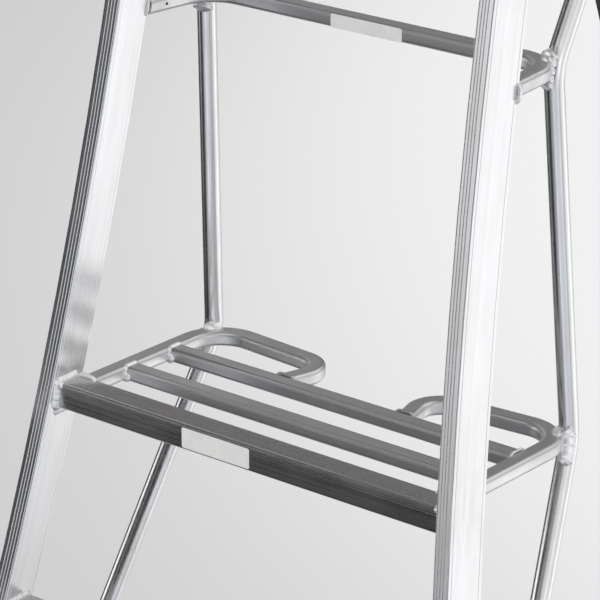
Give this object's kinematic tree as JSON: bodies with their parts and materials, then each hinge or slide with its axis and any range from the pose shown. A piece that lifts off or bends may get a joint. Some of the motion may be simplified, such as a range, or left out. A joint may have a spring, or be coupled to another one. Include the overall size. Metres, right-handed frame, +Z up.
{
  "type": "tripod platform ladder",
  "caption": "Leaning aluminium ladder with flared stiles, steps, slatted platform, knee ring and handrails, held up by a folding telescopic rear leg on tilting feet.",
  "frame": {"origin": "on the ground, in the middle of the footprint's bounding box", "axes": "+X to the climber's right, +Y to the rear leg, +Z up"},
  "size_m": [1.0884, 1.6998, 2.2794],
  "materials": {
    "stile_metal": "mill finish, bright",
    "step_metal": "mill finish, ribbed",
    "tube_metal": "mill finish, smooth",
    "leg_metal": "mill finish, grooved",
    "cast_metal": "cast, tumbled",
    "bolt_steel": "zinc plated",
    "black_plastic": "moulded, fine grain",
    "pad_rubber": "moulded rubber"
  },
  "bodies": {
    "front_frame": {"stile_left": "stile_metal", "stile_right": "stile_metal", "stile_cap_left": "black_plastic", "stile_cap_right": "black_plastic", "lower_step": "step_metal", "middle_step": "step_metal", "upper_step": "step_metal", "platform_tread": "step_metal", "front_slat": "tube_metal", "rear_slat": "tube_metal", "side_loop_left": "tube_metal", "side_loop_right": "tube_metal", "knee_ring": "tube_metal", "side_tube_left": "tube_metal", "side_tube_right": "tube_metal", "top_bar": "tube_metal", "hinge_bracket": "cast_metal", "hinge_bolt": "bolt_steel", "foot_plug_left": "black_plastic", "foot_plug_right": "black_plastic"},
    "rear_leg": {"leg_head": "cast_metal", "outer_leg_tube": "leg_metal", "leg_stop_bolt": "bolt_steel", "clamp_collar": "cast_metal", "clamp_pin": "bolt_steel"},
    "inner_leg": {"inner_leg_tube": "leg_metal", "leg_glide": "black_plastic", "foot_plug_rear": "black_plastic"},
    "lever": {"clamp_lever": "black_plastic"},
    "left_foot": {"foot_shoe_left": "cast_metal", "foot_bolt_left": "bolt_steel", "foot_pad_left": "pad_rubber"},
    "right_foot": {"foot_shoe_right": "cast_metal", "foot_bolt_right": "bolt_steel", "foot_pad_right": "pad_rubber"},
    "rear_foot": {"foot_shoe_rear": "cast_metal", "foot_bolt_rear": "bolt_steel", "foot_pad_rear": "pad_rubber"}
  },
  "joints": [
    {"name": "leg_fold", "type": "hinge", "parent": "front_frame", "child": "rear_leg", "pos_m": [0, -0.01515, 2.12942], "axis": [-1, 0, 0], "range_deg": [0, 41]},
    {"name": "leg_extend", "type": "slide", "parent": "rear_leg", "child": "inner_leg", "axis": [0, 0.3649, -0.9311], "range_m": [0, 0.427]},
    {"name": "lever_swing", "type": "hinge", "parent": "rear_leg", "child": "lever", "pos_m": [0.0405, 0.48035, 0.86505], "axis": [0, 0.9311, 0.3649], "range_deg": [0, 120]},
    {"name": "left_foot_tilt", "type": "hinge", "parent": "front_frame", "child": "left_foot", "pos_m": [-0.50722, -0.8029, 0.042], "axis": [1, 0, 0], "range_deg": [-35, 35]},
    {"name": "right_foot_tilt", "type": "hinge", "parent": "front_frame", "child": "right_foot", "pos_m": [0.50722, -0.8029, 0.042], "axis": [1, 0, 0], "range_deg": [-35, 35]},
    {"name": "rear_foot_tilt", "type": "hinge", "parent": "inner_leg", "child": "rear_foot", "pos_m": [0, 0.8029, 0.042], "axis": [1, 0, 0], "range_deg": [-35, 35]}
  ]
}
